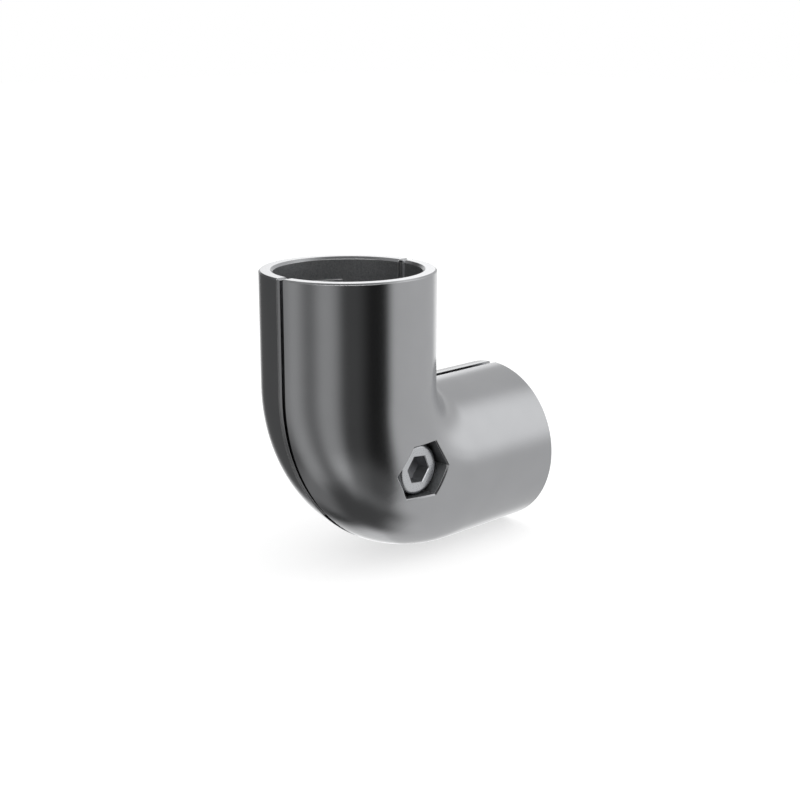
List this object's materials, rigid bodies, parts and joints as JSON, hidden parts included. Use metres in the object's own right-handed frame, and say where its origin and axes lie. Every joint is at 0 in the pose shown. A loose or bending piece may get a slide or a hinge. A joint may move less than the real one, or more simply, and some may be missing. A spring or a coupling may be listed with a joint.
{
  "type": "lean tube joint",
  "caption": "Right-angle elbow clamp for lean pipe: split cast half shells drawn onto two tube ends by a cap screw and a captive nut.",
  "frame": {"origin": "on the upper socket's axis, at the shoulder that the upper tube's end stops on", "axes": "+Z along the upper socket towards its mouth, +X along the side socket towards its mouth, -Y towards the half shell that holds the screw head"},
  "size_m": [0.059, 0.034, 0.059],
  "materials": {
    "die_cast": "satin, fine blasted die-cast surface",
    "zinc_steel": "bright zinc plate"
  },
  "bodies": {
    "front_half": {"front_shell": "die_cast"},
    "screw": {"clamp_screw": "zinc_steel"},
    "rear_half": {"rear_shell": "die_cast", "hex_nut": "zinc_steel"}
  },
  "joints": [
    {"name": "screw_turn", "type": "hinge", "parent": "front_half", "child": "screw", "pos_m": [0.0043, 0, -0.0152], "axis": [0, -1, 0], "range_deg": [-72, 1080]},
    {"name": "shell_slide", "type": "slide", "parent": "front_half", "child": "rear_half", "axis": [0, 1, 0], "range_m": [-0.0002, 0.003]}
  ],
  "couplings": [
    {"joint": "screw_turn", "follows": "shell_slide", "rad_per_m": 6283.2}
  ]
}
